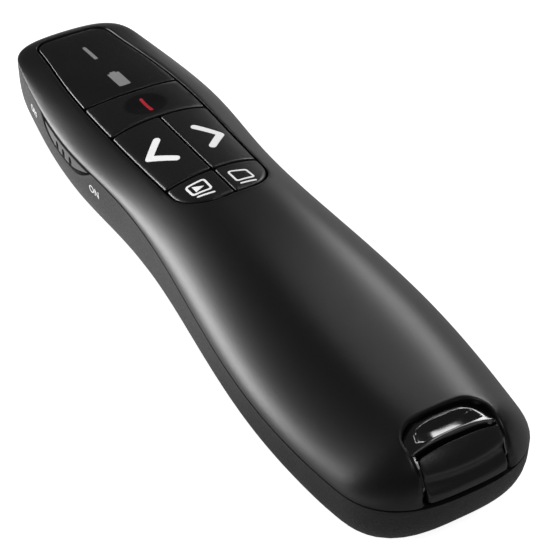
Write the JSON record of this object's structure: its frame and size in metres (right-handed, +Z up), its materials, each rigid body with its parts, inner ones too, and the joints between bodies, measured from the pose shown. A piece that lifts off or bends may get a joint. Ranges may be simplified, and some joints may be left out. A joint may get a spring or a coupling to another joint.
{
  "type": "wireless presentation clicker",
  "caption": "Hand-held wireless presenter with laser, page buttons, side power switch and a USB receiver docked in its tail.",
  "frame": {"origin": "middle of the body's footprint, on the surface that it rests on", "axes": "+Y along the body towards the laser end, +X to the user's right, +Z up out of the button face"},
  "size_m": [0.0362, 0.135, 0.0223],
  "materials": {
    "shell_black": "satin",
    "shell_grey": "fine grain",
    "button_black": "satin",
    "gloss_black": "gloss",
    "inner_black": "matte",
    "grey_window": "tinted",
    "cell_sleeve": "satin",
    "steel": "satin",
    "nickel": "bright",
    "board_green": "solder mask",
    "gold": "plated",
    "brass": "satin",
    "led_white": "clear",
    "lens_glass": "clear"
  },
  "bodies": {
    "body": {"top_shell": "shell_black", "bottom_shell": "shell_grey", "battery_tray": "inner_black", "battery_left": "cell_sleeve", "battery_right": "cell_sleeve", "battery_springs": "steel", "battery_contacts": "nickel", "main_board": "board_green", "tact_switches": "inner_black", "slide_switch": "steel", "radio_chip": "inner_black", "crystal": "steel", "status_led": "led_white", "battery_leds": "led_white", "board_screws": "steel", "case_screws": "steel", "laser_module": "brass", "laser_lens": "lens_glass", "button_frame": "inner_black", "indicator_panel": "gloss_black", "status_light_guide": "grey_window", "battery_light_guide": "grey_window", "receiver_dock": "gloss_black"},
    "door": {"battery_door": "shell_grey"},
    "laser_key": {"laser_button": "button_black", "laser_plunger": "inner_black"},
    "previous_key": {"previous_button": "button_black", "previous_plunger": "inner_black"},
    "next_key": {"next_button": "button_black", "next_plunger": "inner_black"},
    "start_key": {"start_button": "button_black", "start_plunger": "inner_black"},
    "blank_key": {"blank_button": "button_black", "blank_plunger": "inner_black"},
    "switch": {"power_switch": "shell_grey", "switch_lever": "inner_black"},
    "receiver": {"receiver_housing": "shell_black", "receiver_plug": "nickel", "receiver_tongue": "inner_black", "receiver_contacts": "gold", "receiver_board": "board_green"}
  },
  "joints": [
    {"name": "laser_press", "type": "slide", "parent": "body", "child": "laser_key", "axis": [0, 0, -1], "range_m": [0, 0.0005], "stiffness_N_per_m": 1500, "springref_m": -0.0002},
    {"name": "previous_press", "type": "slide", "parent": "body", "child": "previous_key", "axis": [0, 0, -1], "range_m": [0, 0.0005], "stiffness_N_per_m": 1500, "springref_m": -0.0002},
    {"name": "next_press", "type": "slide", "parent": "body", "child": "next_key", "axis": [0, 0, -1], "range_m": [0, 0.0005], "stiffness_N_per_m": 1500, "springref_m": -0.0002},
    {"name": "start_press", "type": "slide", "parent": "body", "child": "start_key", "axis": [0, 0, -1], "range_m": [0, 0.0005], "stiffness_N_per_m": 1500, "springref_m": -0.0002},
    {"name": "blank_press", "type": "slide", "parent": "body", "child": "blank_key", "axis": [0, 0, -1], "range_m": [0, 0.0005], "stiffness_N_per_m": 1500, "springref_m": -0.0002},
    {"name": "power_slide", "type": "slide", "parent": "body", "child": "switch", "axis": [0, 1, 0], "range_m": [0, 0.002]},
    {"name": "receiver_slide", "type": "slide", "parent": "body", "child": "receiver", "axis": [0, -1, 0], "range_m": [0, 0.014]},
    {"name": "door_hinge", "type": "hinge", "parent": "body", "child": "door", "pos_m": [0, 0.0035, 0], "axis": [1, 0, 0], "range_deg": [0, 75]}
  ]
}
